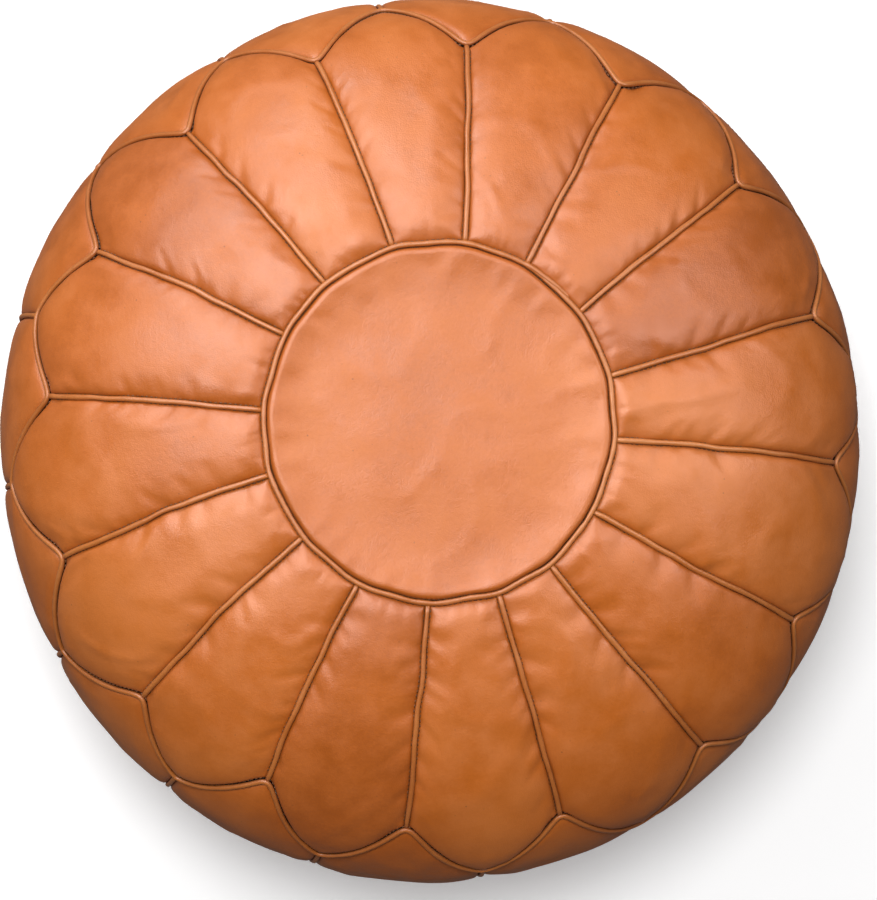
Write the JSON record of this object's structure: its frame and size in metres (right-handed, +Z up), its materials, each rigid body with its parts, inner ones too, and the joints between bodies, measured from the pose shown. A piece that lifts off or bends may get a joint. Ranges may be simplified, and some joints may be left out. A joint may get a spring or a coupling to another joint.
{
  "type": "pouf",
  "caption": "Round stuffed floor pouf: a leather disc ringed by petal-shaped panels, upright side panels under a scalloped seam, raised welts on every seam, and a zipped flat base.",
  "frame": {"origin": "on the floor, under the middle of the pouf's bounding box", "axes": "+Z up; +Y along the zip under the base, towards its closed end, which is also the slightly longer way across; +X across the zip"},
  "size_m": [0.5444, 0.5587, 0.33],
  "materials": {
    "panel_leather": "tan vegetable-tanned goat leather, fine grain, soft satin sheen, mottled colour",
    "welt_leather": "lighter tan leather cord, rubbed along the ridge, stitched on both sides",
    "base_leather": "tan leather, duller and scuffed from the floor",
    "filling": "loose cotton wadding",
    "zip_tape": "woven brown zip tape",
    "zip_metal": "worn antique brass"
  },
  "bodies": {
    "pouf": {"top_disc": "panel_leather", "top_petal_01": "panel_leather", "top_petal_02": "panel_leather", "top_petal_03": "panel_leather", "top_petal_04": "panel_leather", "top_petal_05": "panel_leather", "top_petal_06": "panel_leather", "top_petal_07": "panel_leather", "top_petal_08": "panel_leather", "top_petal_09": "panel_leather", "top_petal_10": "panel_leather", "top_petal_11": "panel_leather", "top_petal_12": "panel_leather", "top_petal_13": "panel_leather", "top_petal_14": "panel_leather", "top_petal_15": "panel_leather", "top_petal_16": "panel_leather", "side_panel_01": "panel_leather", "side_panel_02": "panel_leather", "side_panel_03": "panel_leather", "side_panel_04": "panel_leather", "side_panel_05": "panel_leather", "side_panel_06": "panel_leather", "side_panel_07": "panel_leather", "side_panel_08": "panel_leather", "side_panel_09": "panel_leather", "side_panel_10": "panel_leather", "side_panel_11": "panel_leather", "side_panel_12": "panel_leather", "side_panel_13": "panel_leather", "side_panel_14": "panel_leather", "side_panel_15": "panel_leather", "side_panel_16": "panel_leather", "base_panel_left": "base_leather", "base_panel_right": "base_leather", "disc_welt": "welt_leather", "petal_welt_01": "welt_leather", "petal_welt_02": "welt_leather", "petal_welt_03": "welt_leather", "petal_welt_04": "welt_leather", "petal_welt_05": "welt_leather", "petal_welt_06": "welt_leather", "petal_welt_07": "welt_leather", "petal_welt_08": "welt_leather", "petal_welt_09": "welt_leather", "petal_welt_10": "welt_leather", "petal_welt_11": "welt_leather", "petal_welt_12": "welt_leather", "petal_welt_13": "welt_leather", "petal_welt_14": "welt_leather", "petal_welt_15": "welt_leather", "petal_welt_16": "welt_leather", "side_welt": "welt_leather", "stuffing": "filling", "zip_tape_left": "zip_tape", "zip_tape_right": "zip_tape", "zip_teeth_left": "zip_metal", "zip_teeth_right": "zip_metal"},
    "slider": {"zip_slider": "zip_metal"},
    "pull": {"zip_pull": "zip_metal"}
  },
  "joints": [
    {"name": "slider_travel", "type": "slide", "parent": "pouf", "child": "slider", "axis": [0, -1, 0], "range_m": [0, 0.22], "deforming": ["zip_teeth_left", "zip_teeth_right", "zip_tape_left", "zip_tape_right"]},
    {"name": "pull_swing", "type": "hinge", "parent": "slider", "child": "pull", "pos_m": [0, 0.117, 0.0058], "axis": [1, 0, 0], "range_deg": [-8, 160]}
  ]
}
